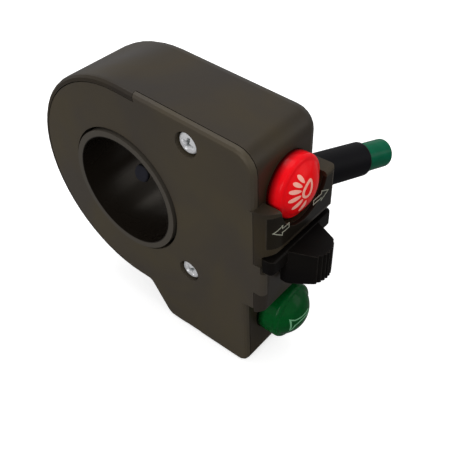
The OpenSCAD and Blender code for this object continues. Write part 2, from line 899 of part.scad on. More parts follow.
module slider_carriage() {
    color("#8a8d92")
        difference() {
            block([mid_x - carriage_len / 2, carriage_y, carriage_low],
                [mid_x + carriage_len / 2, carriage_back, carriage_top]);
            rod_y(screw_r + 0.05, carriage_y - 1, carriage_back + 1, mid_x, slider_z);
            rod_y(screw_r + 0.9, carriage_back - 1.2, carriage_back + 1, mid_x, slider_z);
            rod_y(ball_hole_r, carriage_y + 0.6, carriage_back + 1, mid_x, ball_z);
        }
}

module slider_screw() {
    head_y = carriage_back - 0.1;
    color("#c9ccd0")
        difference() {
            union() {
                rod_y(screw_r, skirt_back - 0.5, head_y - 0.5, mid_x, slider_z);
                rod_y(screw_r + 0.8, head_y - 1.1, head_y, mid_x, slider_z);
            }
            for (a = [0, 90])
                translate([mid_x, 0, slider_z])
                    rotate([0, a + 45, 0])
                        block([-1.1, head_y - 0.4, -0.2], [1.1, head_y + 1, 0.2]);
        }
}

module wiper_bridge() {
    color("#c7a14a")
        block([mid_x - 3.2, carriage_back, contact_low], [mid_x + 3.2, block_y - 0.06, contact_top]);
}

module detent_ball() {
    color("#d5d7da")
        translate([mid_x, ball_y, ball_z])
            sphere(r = ball_r);
}

module detent_spring() {
    color("#b9bcc0")
        coil(ball_r - 0.4, 0.15, 4, carriage_y + 0.65, ball_y - ball_r - 0.05, mid_x, ball_z);
}

main_housing();
side_cover();
cover_screws();
bar_grub_screw();
grub_insert();
arrow_fascia();
circuit_board();
latch_module();
latch_pin();
headlight_contacts();
horn_module();
horn_contacts();
turn_contact_block();
turn_contacts();
cable_sleeve();
lead_core();
cable_end();
cable_clamp();
lead_wires();
headlight_button();
headlight_plunger();
headlight_spring();
horn_button();
horn_plunger();
horn_spring();
slider_knob();
slider_carriage();
slider_screw();
wiper_bridge();
detent_ball();
detent_spring();
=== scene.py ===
"""Handlebar switch cluster: black moulded housing with a turn signal slider and two push buttons.

X runs along the handlebar, from the side cover to the far side, the controls face -Y and +Z is up.
Lengths are in metres, and the origin is the centre of the handlebar bore in the side cover's face.
"""

import math

import bmesh
import bpy
import numpy as np
from mathutils import Matrix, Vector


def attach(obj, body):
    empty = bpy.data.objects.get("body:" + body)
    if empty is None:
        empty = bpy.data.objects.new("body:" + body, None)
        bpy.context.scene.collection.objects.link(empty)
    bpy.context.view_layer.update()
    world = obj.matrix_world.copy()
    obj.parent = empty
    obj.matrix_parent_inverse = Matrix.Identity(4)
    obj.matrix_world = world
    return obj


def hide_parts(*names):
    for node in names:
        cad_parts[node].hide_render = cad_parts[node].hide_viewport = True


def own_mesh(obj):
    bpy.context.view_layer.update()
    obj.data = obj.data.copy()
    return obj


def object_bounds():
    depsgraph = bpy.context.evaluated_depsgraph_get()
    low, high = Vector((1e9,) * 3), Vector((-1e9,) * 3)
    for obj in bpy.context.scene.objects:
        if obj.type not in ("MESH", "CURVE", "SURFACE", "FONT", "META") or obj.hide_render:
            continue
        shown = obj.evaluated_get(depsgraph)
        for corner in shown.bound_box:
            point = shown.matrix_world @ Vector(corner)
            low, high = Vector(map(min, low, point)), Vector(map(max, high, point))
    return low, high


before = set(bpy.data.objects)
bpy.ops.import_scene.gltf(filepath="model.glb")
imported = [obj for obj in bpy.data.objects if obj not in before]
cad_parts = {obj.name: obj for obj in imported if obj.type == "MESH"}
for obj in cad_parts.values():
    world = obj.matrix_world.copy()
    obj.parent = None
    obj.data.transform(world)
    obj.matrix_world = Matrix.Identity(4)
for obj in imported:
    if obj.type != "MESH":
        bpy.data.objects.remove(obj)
cad_box = [list(map(float, corner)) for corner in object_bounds()]
scene = bpy.context.scene
scene.view_settings.view_transform = "Standard"

# Camera
# The photograph looks down on the side cover and on the controls, from the left of the handlebar.
# Its place was found from the circles of the bore and of the tube that stands out round it.
camera_place = (-0.05686, -0.07555, 0.07395)
camera_right = (0.6441, -0.7640, -0.0376)
camera_up = (0.5417, 0.4209, 0.7276)
camera_back = (-0.5401, -0.4890, 0.6850)
photo_width = 450
focal_pixels = 640

camera_data = bpy.data.cameras.new("camera")
camera_data.sensor_fit = "HORIZONTAL"
camera_data.sensor_width = 36
camera_data.lens = focal_pixels * camera_data.sensor_width / photo_width
camera_data.clip_start = 0.002
camera = bpy.data.objects.new("camera", camera_data)
scene.collection.objects.link(camera)
turned = np.eye(4)
turned[:3, 0], turned[:3, 1], turned[:3, 2] = camera_right, camera_up, camera_back
turned[:3, 3] = camera_place
camera.matrix_world = Matrix(turned.tolist())
scene.camera = camera

# Floor and daylight
# The cluster stands on its chin on a white sheet, under a broad white sky. The camera sees the
# sheet nearly without shadow, as in the photograph, while the object is lit as if over a grey one.
floor_z = cad_box[0][2]
floor_reach = 1.5
floor_white = (0.90, 0.90, 0.90, 1)
floor_grey = (0.26, 0.26, 0.265, 1)
floor_glow = 0.55
crease_angle = math.radians(34)


def node_material(name):
    """A new material and its Principled shader."""
    material = bpy.data.materials.new(name)
    material.use_nodes = True
    return material, material.node_tree.nodes["Principled BSDF"]


def tree_of(owner):
    """The node tree of a material or of the world, or the node group itself."""
    return getattr(owner, "node_tree", owner)


def add_node(owner, kind, place, inputs=(), **settings):
    """A shader node of that kind with its settings and the plain values of its inputs."""
    node = tree_of(owner).nodes.new(kind)
    node.location = place
    for key, value in settings.items():
        setattr(node, key, value)
    for key, value in dict(inputs).items():
        node.inputs[key].default_value = value
    return node


def colour_mix(owner, place, inputs=(), blend="MIX"):
    """A node that mixes its colour A with its colour B by its factor."""
    return add_node(owner, "ShaderNodeMix", place, inputs, data_type="RGBA", blend_type=blend)


def wire(owner, *links):
    """Links an output of a node to an input of another, for each (node, output, node, input)."""
    for start, output, end, entry in links:
        tree_of(owner).links.new(start.outputs[output], end.inputs[entry])


def smooth_piece(name, loose, mesh, sharp):
    """Shades a loose mesh smooth, but for the edges that turn by more than the sharp angle, stores
    it in the mesh and returns the object that holds it."""
    for face in loose.faces:
        face.smooth = True
    for edge in loose.edges:
        edge.smooth = edge.calc_face_angle(0) < sharp
    loose.to_mesh(mesh)
    loose.free()
    piece = bpy.data.objects.new(name, mesh)
    scene.collection.objects.link(piece)
    return piece


def grid_mesh(name, points, closed_rows=False, closed_columns=True):
    """A mesh over a grid of points with shape (rows, columns, 3): each cell between four neighbours
    is one face, a closed direction joins its last line to its first, doubled points are merged, so
    that a row at one place becomes a pole, and the faces are turned outwards."""
    rows, columns = points.shape[:2]
    row, column = np.meshgrid(np.arange(rows if closed_rows else rows - 1),
                              np.arange(columns if closed_columns else columns - 1),
                              indexing="ij")
    next_row, next_column = (row + 1) % rows, (column + 1) % columns
    quads = np.stack([row * columns + column, next_row * columns + column,
                      next_row * columns + next_column, row * columns + next_column], axis=-1)
    mesh = bpy.data.meshes.new(name)
    mesh.from_pydata(points.reshape(-1, 3).tolist(), [], quads.reshape(-1, 4).tolist())
    loose = bmesh.new()
    loose.from_mesh(mesh)
    bmesh.ops.remove_doubles(loose, verts=loose.verts, dist=1e-7)
    bmesh.ops.dissolve_degenerate(loose, edges=loose.edges, dist=1e-8)
    bmesh.ops.recalc_face_normals(loose, faces=loose.faces)
    return smooth_piece(name, loose, mesh, crease_angle)


steps = np.linspace(-floor_reach, floor_reach, 9)
floor_x, floor_y = np.meshgrid(steps, steps, indexing="ij")
floor = grid_mesh("floor", np.stack([floor_x, floor_y, np.full_like(floor_x, floor_z)], axis=-1),
                  closed_columns=False)
paper, paper_shader = node_material("white_paper")
paper_shader.inputs["Roughness"].default_value = 0.9
paper_shader.inputs["Specular IOR Level"].default_value = 0.1
seen = add_node(paper, "ShaderNodeLightPath", (-400, 200))
sheet = colour_mix(paper, (-200, 400), {"A": floor_grey, "B": floor_white})
glow_strength = add_node(paper, "ShaderNodeMath", (-200, 150), {1: floor_glow},
                         operation="MULTIPLY")
glow = add_node(paper, "ShaderNodeEmission", (0, 150), {"Color": (1, 1, 1, 1)})
lit = add_node(paper, "ShaderNodeAddShader", (300, 200))
wire(paper, (seen, "Is Camera Ray", glow_strength, 0), (seen, "Is Camera Ray", sheet, "Factor"),
     (sheet, "Result", paper_shader, "Base Color"), (glow_strength, 0, glow, "Strength"),
     (paper_shader, 0, lit, 0), (glow, 0, lit, 1),
     (lit, 0, paper.node_tree.nodes["Material Output"], "Surface"))
floor.data.materials.append(paper)

# The camera sees the sky at its full strength. It lights the object with half of that, and shows
# in the object's gloss in between.
sky_half = 0.5
sky_mirror_share = 0.35
sky = bpy.data.worlds.new("sky")
sky.use_nodes = True
scene.world = sky
sky_light = sky.node_tree.nodes["Background"]
sky_light.inputs["Color"].default_value = (1, 1, 1, 1)
sky_path = add_node(sky, "ShaderNodeLightPath", (-700, 200))
sky_mirrored = add_node(sky, "ShaderNodeMath", (-600, 100), {1: sky_mirror_share},
                        operation="MULTIPLY")
sky_seen = add_node(sky, "ShaderNodeMath", (-500, 200), operation="MAXIMUM")
sky_seen_at_all = add_node(sky, "ShaderNodeMath", (-400, 200), operation="MAXIMUM")
sky_level = add_node(sky, "ShaderNodeMapRange", (-250, 0), {"To Min": sky_half})
wire(sky, (sky_path, "Is Camera Ray", sky_seen, 0), (sky_path, "Is Glossy Ray", sky_mirrored, 0),
     (sky_mirrored, 0, sky_seen, 1), (sky_seen, 0, sky_seen_at_all, 0),
     (sky_path, "Is Transmission Ray", sky_seen_at_all, 1),
     (sky_seen_at_all, 0, sky_level, "Value"), (sky_level, 0, sky_light, "Strength"))


def softbox(name, place, aim, size, power):
    """A rectangular lamp at a place, turned to look at its aim."""
    data = bpy.data.lights.new(name, "AREA")
    data.shape = "RECTANGLE"
    data.size, data.size_y = size
    data.energy = power
    lamp = bpy.data.objects.new(name, data)
    scene.collection.objects.link(lamp)
    away = np.array(place, float) - np.array(aim, float)
    away /= np.linalg.norm(away)
    side = np.cross((0, 0, 1), away)
    side /= np.linalg.norm(side)
    turn = np.eye(4)
    turn[:3, 0], turn[:3, 1], turn[:3, 2] = side, np.cross(away, side), away
    turn[:3, 3] = place
    lamp.matrix_world = Matrix(turn.tolist())


middle = (0.01, -0.005, 0)
softbox("overhead", (0.10, 0.05, 0.42), middle, (0.34, 0.26), 0.80)
softbox("front", (0.25, -0.40, 0.18), middle, (0.26, 0.26), 0.28)
softbox("left", (-0.42, -0.10, 0.20), middle, (0.20, 0.30), 0.85)

# Main housing
# One injection moulding in black-brown filled plastic: the tube that goes round the handlebar, the
# side and far walls, and the pod that carries the controls. Its edges are softly broken.
shell_brown = (0.030, 0.0220, 0.0115, 1)
shell_black = (0.0215, 0.0168, 0.0125, 1)
# Paler edges: partly rubbed wear, partly a painted highlight.
worn_edge_highlight = (0.040, 0.033, 0.026, 1)
deep_sheen = (0.95, 0.885, 0.82, 1)
warm_sheen = (1.0, 0.90, 0.74, 1)
shell_sheen = 0.24
shell_bevel = 0.00012
bevel_angle = math.radians(28)
bore_radius = 0.01115
tube_radius = 0.01245
bore_blend = 0.00010
# Painted shade inside the bore: a deeper black and a lower sheen.
bore_painted_shade = (0.0105, 0.0080, 0.0058, 1)
bore_shade_sheen_level = 0.16
bore_smoothing = -0.16
# Painted light on the tube's end faces.
tube_end_painted_light = (0.066, 0.0575, 0.046, 1)


def shader_group(name, inputs, outputs):
    """An empty node group with inputs (name, kind, value) and outputs (name, kind), and the two
    nodes that stand for these inside it."""
    group = bpy.data.node_groups.new(name, "ShaderNodeTree")
    for label, kind, value in inputs:
        socket = group.interface.new_socket(label, in_out="INPUT", socket_type=kind)
        socket.default_value = value
    for label, kind in outputs:
        group.interface.new_socket(label, in_out="OUTPUT", socket_type=kind)
    start = group.nodes.new("NodeGroupInput")
    start.location = (-900, 0)
    end = group.nodes.new("NodeGroupOutput")
    end.location = (600, 0)
    return group, start, end


def group_node(material, group, place, inputs=()):
    """The node group in a material, with that material's own values."""
    return add_node(material, "ShaderNodeGroup", place, inputs, node_tree=group)


# Fine moulded grain over broad, faint flow marks, both in the object's own coordinates.
moulded_grain, grain_in, grain_out = shader_group(
    "moulded_grain",
    [("Grain Scale", "NodeSocketFloat", 3200.0), ("Flow Scale", "NodeSocketFloat", 60.0)],
    [("Height", "NodeSocketFloat"), ("Flow", "NodeSocketFloat")])
grain_place = add_node(moulded_grain, "ShaderNodeTexCoord", (-900, 300))
grain_fine = add_node(moulded_grain, "ShaderNodeTexNoise", (-500, 200),
                      {"Detail": 3.0, "Roughness": 0.6})
grain_cell = add_node(moulded_grain, "ShaderNodeTexVoronoi", (-500, -100), feature="SMOOTH_F1")
grain_flow = add_node(moulded_grain, "ShaderNodeTexNoise", (-500, -400),
                      {"Detail": 4.0, "Distortion": 0.6})
grain_sum = add_node(moulded_grain, "ShaderNodeMath", (100, 100), operation="MULTIPLY_ADD")
wire(moulded_grain, (grain_place, "Object", grain_fine, "Vector"),
     (grain_place, "Object", grain_cell, "Vector"), (grain_place, "Object", grain_flow, "Vector"),
     (grain_in, "Grain Scale", grain_fine, "Scale"), (grain_in, "Grain Scale", grain_cell, "Scale"),
     (grain_in, "Flow Scale", grain_flow, "Scale"), (grain_fine, "Fac", grain_sum, 0),
     (grain_cell, "Distance", grain_sum, 1), (grain_fine, "Fac", grain_sum, 2),
     (grain_sum, 0, grain_out, "Height"), (grain_flow, "Fac", grain_out, "Flow"))

# Rubbed edges, partly real wear and partly a painted highlight along the edges: where a narrow rounding
# would turn the surface, broken up by a patchy noise.
rubbed_edge_highlight, rub_in, rub_out = shader_group(
    "rubbed_edge_highlight",
    [("Reach", "NodeSocketFloat", 0.0002), ("Patch Scale", "NodeSocketFloat", 900.0)],
    [("Mask", "NodeSocketFloat")])
rub_bevel = add_node(rubbed_edge_highlight, "ShaderNodeBevel", (-600, 200), samples=4)
rub_normal = add_node(rubbed_edge_highlight, "ShaderNodeNewGeometry", (-600, 0))
rub_dot = add_node(rubbed_edge_highlight, "ShaderNodeVectorMath", (-400, 100), operation="DOT_PRODUCT")
rub_turn = add_node(rubbed_edge_highlight, "ShaderNodeMapRange", (-200, 100),
                    {"From Min": 0.995, "From Max": 0.90})
rub_place = add_node(rubbed_edge_highlight, "ShaderNodeTexCoord", (-800, -300))
rub_noise = add_node(rubbed_edge_highlight, "ShaderNodeTexNoise", (-600, -300), {"Detail": 5.0})
rub_patch = add_node(rubbed_edge_highlight, "ShaderNodeMapRange", (-200, -300),
                     {"From Min": 0.35, "From Max": 0.65, "To Min": 0.25})
rub_both = add_node(rubbed_edge_highlight, "ShaderNodeMath", (100, 0), operation="MULTIPLY")
wire(rubbed_edge_highlight, (rub_in, "Reach", rub_bevel, "Radius"), (rub_bevel, 0, rub_dot, 0),
     (rub_normal, "Normal", rub_dot, 1), (rub_dot, "Value", rub_turn, "Value"),
     (rub_place, "Object", rub_noise, "Vector"), (rub_in, "Patch Scale", rub_noise, "Scale"),
     (rub_noise, "Fac", rub_patch, "Value"), (rub_turn, 0, rub_both, 0),
     (rub_patch, 0, rub_both, 1), (rub_both, 0, rub_out, "Mask"))


def moulded_plastic(name, dark, light, worn_highlight, rough, grain=3200.0, depth=0.000004,
                    sheen_level=0.5, sheen_dark=(1, 1, 1, 1), sheen_light=(1, 1, 1, 1)):
    """Filled plastic: two near colours in flow marks, a fine grain, and paler edges that are partly
    rubbed wear and partly a painted highlight. The sheen takes its own tint where the flow marks are
    dark and where they are light."""
    material, shader = node_material(name)
    skin = group_node(material, moulded_grain, (-900, 0), {"Grain Scale": grain})
    edges = group_node(material, rubbed_edge_highlight, (-900, 300))
    marks = add_node(material, "ShaderNodeMapRange", (-700, 500),
                     {"From Min": 0.38, "From Max": 0.62})
    tone = colour_mix(material, (-500, 300), {"A": dark, "B": light})
    wear_highlight = colour_mix(material, (-250, 300), {"B": worn_highlight})
    tint = colour_mix(material, (-500, 550), {"A": sheen_dark, "B": sheen_light})
    gloss = add_node(material, "ShaderNodeMapRange", (-500, 0),
                     {"From Min": 0.3, "From Max": 0.7,
                      "To Min": rough - 0.05, "To Max": rough + 0.06})
    relief = add_node(material, "ShaderNodeBump", (-250, -200),
                      {"Strength": 0.6, "Distance": depth})
    wire(material, (skin, "Flow", marks, "Value"), (marks, 0, tone, "Factor"),
         (marks, 0, tint, "Factor"), (tint, "Result", shader, "Specular Tint"),
         (tone, "Result", wear_highlight, "A"), (edges, "Mask", wear_highlight, "Factor"),
         (wear_highlight, "Result", shader, "Base Color"), (skin, "Flow", gloss, "Value"),
         (gloss, 0, shader, "Roughness"), (skin, "Height", relief, "Height"),
         (relief, 0, shader, "Normal"))
    shader.inputs["Specular IOR Level"].default_value = sheen_level
    return material


def dressed_solid(node, name, width):
    """A copy of a solid's surface with its doubled points merged and its flat faces joined, whose
    edges that turn by more than the bevel's angle are rounded by a narrow bevel."""
    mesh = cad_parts[node].data.copy()
    mesh.name = name
    mesh.materials.clear()
    loose = bmesh.new()
    loose.from_mesh(mesh)
    bmesh.ops.remove_doubles(loose, verts=loose.verts, dist=2e-6)
    bmesh.ops.dissolve_limit(loose, angle_limit=math.radians(0.6), verts=loose.verts,
                             edges=loose.edges)
    bmesh.ops.recalc_face_normals(loose, faces=loose.faces)
    piece = smooth_piece(name, loose, mesh, bevel_angle)
    if "custom_normal" in mesh.attributes:
        mesh.attributes.remove(mesh.attributes["custom_normal"])
    rounding = piece.modifiers.new("broken_edges", "BEVEL")
    rounding.width = width
    rounding.segments = 2
    rounding.limit_method = "ANGLE"
    rounding.angle_limit = bevel_angle
    rounding.use_clamp_overlap = True
    rounding.harden_normals = True
    rounding.miter_outer = "MITER_ARC"
    even = piece.modifiers.new("even_faces", "WEIGHTED_NORMAL")
    even.keep_sharp = True
    return piece


housing_plastic = moulded_plastic("housing_plastic", shell_black, shell_brown, worn_edge_highlight, 0.42,
                                  sheen_level=shell_sheen, sheen_dark=deep_sheen,
                                  sheen_light=warm_sheen)

# The bore is drawn off a polished core pin, so within it the skin is smoother. Its black is painted
# deeper and its sheen lower, as painted shade inside the tube.
# The tube's end faces are painted paler, as painted light on the faces that look towards the left lamp.
housing_shader = housing_plastic.node_tree.nodes["Principled BSDF"]
outer_colour = housing_shader.inputs["Base Color"].links[0].from_node
outer_rough = housing_shader.inputs["Roughness"].links[0].from_node
bore_place = add_node(housing_plastic, "ShaderNodeTexCoord", (-1100, 900))
bore_across = add_node(housing_plastic, "ShaderNodeVectorMath", (-900, 900), {1: (0, 1, 1)},
                       operation="MULTIPLY")
bore_reach = add_node(housing_plastic, "ShaderNodeVectorMath", (-700, 900), operation="LENGTH")
bore_mask, tube_end_light_mask = [
    add_node(housing_plastic, "ShaderNodeMapRange", (-500, height),
             {"From Min": radius + 2 * bore_blend, "From Max": radius + bore_blend})
    for radius, height in ((bore_radius, 900), (tube_radius, 1150))]
tube_end_lit_colour = colour_mix(housing_plastic, (-300, 600), {"B": tube_end_painted_light})
bore_shaded_colour = colour_mix(housing_plastic, (-100, 500), {"B": bore_painted_shade})
bore_rough = add_node(housing_plastic, "ShaderNodeMath", (-100, 100), {1: bore_smoothing},
                      operation="MULTIPLY_ADD")
bore_shade_sheen = add_node(housing_plastic, "ShaderNodeMapRange", (-100, -50),
                      {"To Min": shell_sheen, "To Max": bore_shade_sheen_level})
wire(housing_plastic, (bore_place, "Object", bore_across, 0), (bore_across, 0, bore_reach, 0),
     (bore_reach, "Value", bore_mask, "Value"), (bore_reach, "Value", tube_end_light_mask, "Value"),
     (tube_end_light_mask, 0, tube_end_lit_colour, "Factor"), (outer_colour, "Result", tube_end_lit_colour, "A"),
     (bore_mask, 0, bore_shaded_colour, "Factor"), (tube_end_lit_colour, "Result", bore_shaded_colour, "A"),
     (bore_shaded_colour, "Result", housing_shader, "Base Color"), (bore_mask, 0, bore_rough, 0),
     (outer_rough, 0, bore_rough, 2), (bore_rough, 0, housing_shader, "Roughness"),
     (bore_mask, 0, bore_shade_sheen, "Value"), (bore_shade_sheen, 0, housing_shader, "Specular IOR Level"))

housing = dressed_solid("main_housing", "housing_shell", shell_bevel)
housing.data.materials.append(housing_plastic)
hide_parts("main_housing")
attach(housing, "housing")

# Side cover
# A flat moulding of the same plastic that closes the side of the housing, let into its rim and held by
# two screws. Its colours are painted paler than the housing's, as painted light on this side, which
# faces the lamp at the left.
cover_lit_brown = (0.062, 0.0500, 0.0310, 1)
cover_lit_black = (0.051, 0.0420, 0.0315, 1)

cover_plastic = moulded_plastic("cover_plastic", cover_lit_black, cover_lit_brown, worn_edge_highlight, 0.45,
                                grain=2900.0, sheen_level=0.25, sheen_dark=deep_sheen,
                                sheen_light=warm_sheen)
cover = dressed_solid("side_cover", "cover_plate", shell_bevel)
cover.data.materials.append(cover_plastic)
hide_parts("side_cover")
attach(cover, "housing")

# Cover screws
# Two zinc-plated steel screws with domed heads and a cross recess, sunk in the cover's
# counterbores. The recess gets narrower and less deep towards the ends of its four wings, and the
# plating shows fine turning lines.
cover_screw_places = [(-0.0169, 0.0173), (-0.0146, -0.0121)]
cover_screw_turns = (0.35, 0.9)
screw_sides = 96
screw_head_radius = 0.002
screw_head_height = 0.0013
screw_head_x = 0.00035
screw_dome = 0.00022
screw_rim_start, screw_rim_drop = 0.80, 0.00045
screw_shank_radius = 0.0012
screw_shank_length = 0.008
screw_neck = 0.0006
screw_point = 0.45
thread_pitch, thread_depth = 0.00035, 0.00018
recess_depth = 0.0009
recess_half_width = 0.00034
recess_reach = 0.00125
recess_taper, recess_spread = 0.35, 0.15
recess_flank, recess_end = 0.00012, 0.0004
# Painted shade in each screw's recess and down its rim, where the head lies deeper.
screw_shade_from, screw_shade_full, screw_shade_cover = 0.00028, 0.00070, 0.85
screw_shade_grey = (0.085, 0.105, 0.100, 1)


def revolved(profile, count):
    """Points of a profile turned round its axis: each (height, radius) gives a row of points at
    (height, radius * cos(angle), radius * sin(angle)), for evenly spaced angles."""
    height, radius = np.array(profile, float).T
    angle = np.linspace(0, 2 * math.pi, count, endpoint=False)
    return np.stack([np.broadcast_to(height[:, None], (len(height), count)),
                     radius[:, None] * np.cos(angle), radius[:, None] * np.sin(angle)], axis=-1)


def screw_head(place, turn):
    """A domed head on its shank: the head falls as the square of the distance from the middle, and
    as a quarter ellipse over its rim, and a cross recess is taken off, whose depth falls to nothing
    at the wings' flanks and ends."""
    ring = np.concatenate([np.linspace(0, screw_rim_start, 26),
                           [0.84, 0.88, 0.92, 0.955, 0.98, 0.994, 1.0]])
    angle = np.linspace(0, 2 * math.pi, screw_sides, endpoint=False)
    share, angle = np.meshgrid(ring, angle, indexing="ij")
    radius = share * screw_head_radius
    across, along = radius * np.cos(angle - turn), radius * np.sin(angle - turn)
    rim = np.clip((share - screw_rim_start) / (1 - screw_rim_start), 0, 1)
    near_wing = np.minimum(np.abs(across), np.abs(along))
    far_wing = np.maximum(np.abs(across), np.abs(along))
    taper = 1 - recess_taper * far_wing / recess_reach
    flank = np.clip((recess_half_width * (taper + recess_spread) - near_wing) / recess_flank, 0, 1)
    end = np.clip((recess_reach - far_wing) / recess_end, 0, 1)
    depth = (screw_dome * share ** 2 + screw_rim_drop * (1 - np.sqrt(1 - rim ** 2))
             + recess_depth * flank * end * taper)
    face = np.stack([depth, radius * np.cos(angle), radius * np.sin(angle)], axis=-1)
    back = [(screw_head_height, screw_head_radius), (screw_head_height, screw_shank_radius)]
    turns = np.arange(0, screw_shank_length - 2 * screw_neck, thread_pitch)
    thread = [(screw_head_height + screw_neck + t, screw_shank_radius - thread_depth * (i % 2))
              for i, t in enumerate(turns)]
    foot = screw_head_height + screw_shank_length
    tip = [(foot, screw_shank_radius * screw_point), (foot, 0)]
    points = np.concatenate([face, revolved(back + thread + tip, screw_sides)])
    return points + np.array([screw_head_x, *place])


# Fine parallel turning lines, round an axis along X through the given place.
turned_lines, turned_in, turned_out = shader_group(
    "turned_lines",
    [("Centre", "NodeSocketVector", (0, 0, 0)), ("Line Scale", "NodeSocketFloat", 9000.0)],
    [("Lines", "NodeSocketFloat"), ("Stain", "NodeSocketFloat")])
turned_place = add_node(turned_lines, "ShaderNodeTexCoord", (-900, 200))
turned_from = add_node(turned_lines, "ShaderNodeVectorMath", (-700, 100), operation="SUBTRACT")
turned_flat = add_node(turned_lines, "ShaderNodeVectorMath", (-500, 100), {1: (0, 1, 1)},
                       operation="MULTIPLY")
turned_radius = add_node(turned_lines, "ShaderNodeVectorMath", (-300, 100), operation="LENGTH")
turned_noise = add_node(turned_lines, "ShaderNodeTexNoise", (0, 100), {"Detail": 2.0},
                        noise_dimensions="1D")
turned_stain = add_node(turned_lines, "ShaderNodeTexNoise", (0, -200),
                        {"Scale": 700.0, "Detail": 4.0})
wire(turned_lines, (turned_place, "Object", turned_from, 0), (turned_in, "Centre", turned_from, 1),
     (turned_from, 0, turned_flat, 0), (turned_flat, 0, turned_radius, 0),
     (turned_radius, "Value", turned_noise, "W"), (turned_in, "Line Scale", turned_noise, "Scale"),
     (turned_place, "Object", turned_stain, "Vector"), (turned_noise, "Fac", turned_out, "Lines"),
     (turned_stain, "Fac", turned_out, "Stain"))


def plated_metal(name, bright, dull, rough, centre=(0, 0, 0), lines=9000.0, metallic=1.0):
    """Plated or bare metal: soft stains in its shade and its gloss, turning lines in its relief."""
    material, shader = node_material(name)
    finish = group_node(material, turned_lines, (-900, 0), {"Centre": centre, "Line Scale": lines})
    edges = group_node(material, rubbed_edge_highlight, (-900, 300),
                       {"Reach": 0.00008, "Patch Scale": 2500.0})
    shade = colour_mix(material, (-500, 300), {"A": dull, "B": bright})
    # Paler edges: partly rubbed plating, partly a painted highlight.
    rubbed = colour_mix(material, (-250, 300),
                        {"B": (*[min(1.0, level * 1.25) for level in bright[:3]], 1)})
    gloss = add_node(material, "ShaderNodeMapRange", (-500, 0),
                     {"To Min": rough - 0.06, "To Max": rough + 0.10})
    relief = add_node(material, "ShaderNodeBump", (-250, -200),
                      {"Strength": 0.4, "Distance": 0.000004})
    wire(material, (finish, "Stain", shade, "Factor"), (shade, "Result", rubbed, "A"),
         (edges, "Mask", rubbed, "Factor"), (rubbed, "Result", shader, "Base Color"),
         (finish, "Stain", gloss, "Value"), (gloss, 0, shader, "Roughness"),
         (finish, "Lines", relief, "Height"), (relief, 0, shader, "Normal"))
    shader.inputs["Metallic"].default_value = metallic
    return material


for number, (place, turn) in enumerate(zip(cover_screw_places, cover_screw_turns), 1):
    screw = grid_mesh(f"cover_screw_{number}", screw_head(place, turn))
    zinc = plated_metal(f"zinc_plate_{number}", (0.96, 0.96, 0.97, 1), (0.84, 0.85, 0.87, 1),
                        0.30, (0, *place), metallic=0.4)
    # Painted shade darkens the plating in the recess and down the rim of the head, where the
    # counterbore shades it.
    zinc_shader = zinc.node_tree.nodes["Principled BSDF"]
    plating = zinc_shader.inputs["Base Color"].links[0].from_node
    zinc_place = add_node(zinc, "ShaderNodeTexCoord", (-900, 700))
    zinc_depth = add_node(zinc, "ShaderNodeSeparateXYZ", (-700, 700))
    recess_shade = add_node(zinc, "ShaderNodeMapRange", (-500, 700),
                     {"From Min": screw_head_x + screw_shade_from,
                      "From Max": screw_head_x + screw_shade_full, "To Max": screw_shade_cover})
    shaded_plating = colour_mix(zinc, (-100, 500), {"B": screw_shade_grey})
    wire(zinc, (zinc_place, "Object", zinc_depth, 0), (zinc_depth, "X", recess_shade, "Value"),
         (recess_shade, 0, shaded_plating, "Factor"), (plating, "Result", shaded_plating, "A"),
         (shaded_plating, "Result", zinc_shader, "Base Color"))
    screw.data.materials.append(zinc)
    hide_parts("cover_screws")
    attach(screw, "housing")

# Grub screw and its insert
# A blackened steel grub screw in a brass insert, moulded into the tube's rear wall. Its tip bears
# on the handlebar and keeps the cluster from turning.


def dress_node(node, material):
    """A solid whose shape is right takes the material as it stands."""
    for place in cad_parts[node].material_slots:
        place.material = material


dress_node("bar_grub_screw", plated_metal("black_oxide", (0.020, 0.020, 0.026, 1),
                                          (0.008, 0.008, 0.010, 1), 0.34))
dress_node("grub_insert", plated_metal("insert_brass", (0.72, 0.52, 0.22, 1),
                                       (0.50, 0.34, 0.13, 1), 0.32))

# Arrow plate
# A thin glossy black plate, laid into the pod's front and bent round its near corner. Two outlined
# arrows are printed on it in off-white, and point the way that the slider is pushed.
pod_corner = 0.0035
arrow_face_y = -0.0335
arrow_mid_z = 0.0067
arrow_line = 0.00015
arrow_ends = {"left": (0.0014, 0.0046), "right": (0.0156, 0.0113)}
arrow_half_head = 0.00098
arrow_half_tail = 0.00042
arrow_head_share = 0.48
plate_bevel = 0.00006
# The plate is black of its own; its colours and sheen are made darker still as painted shade over the
# pod's front, below the red button.
plate_shaded_dark = (0.0060, 0.0052, 0.0046, 1)
plate_shaded_light = (0.0110, 0.0086, 0.0052, 1)

plate_gloss = moulded_plastic("arrow_plate", plate_shaded_dark, plate_shaded_light, worn_edge_highlight, 0.34, grain=1500.0,
                              depth=0.000002, sheen_level=0.12, sheen_dark=deep_sheen,
                              sheen_light=warm_sheen)
plate = dressed_solid("arrow_fascia", "arrow_plate", plate_bevel)
plate.data.materials.append(plate_gloss)
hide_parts("arrow_fascia")
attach(plate, "housing")


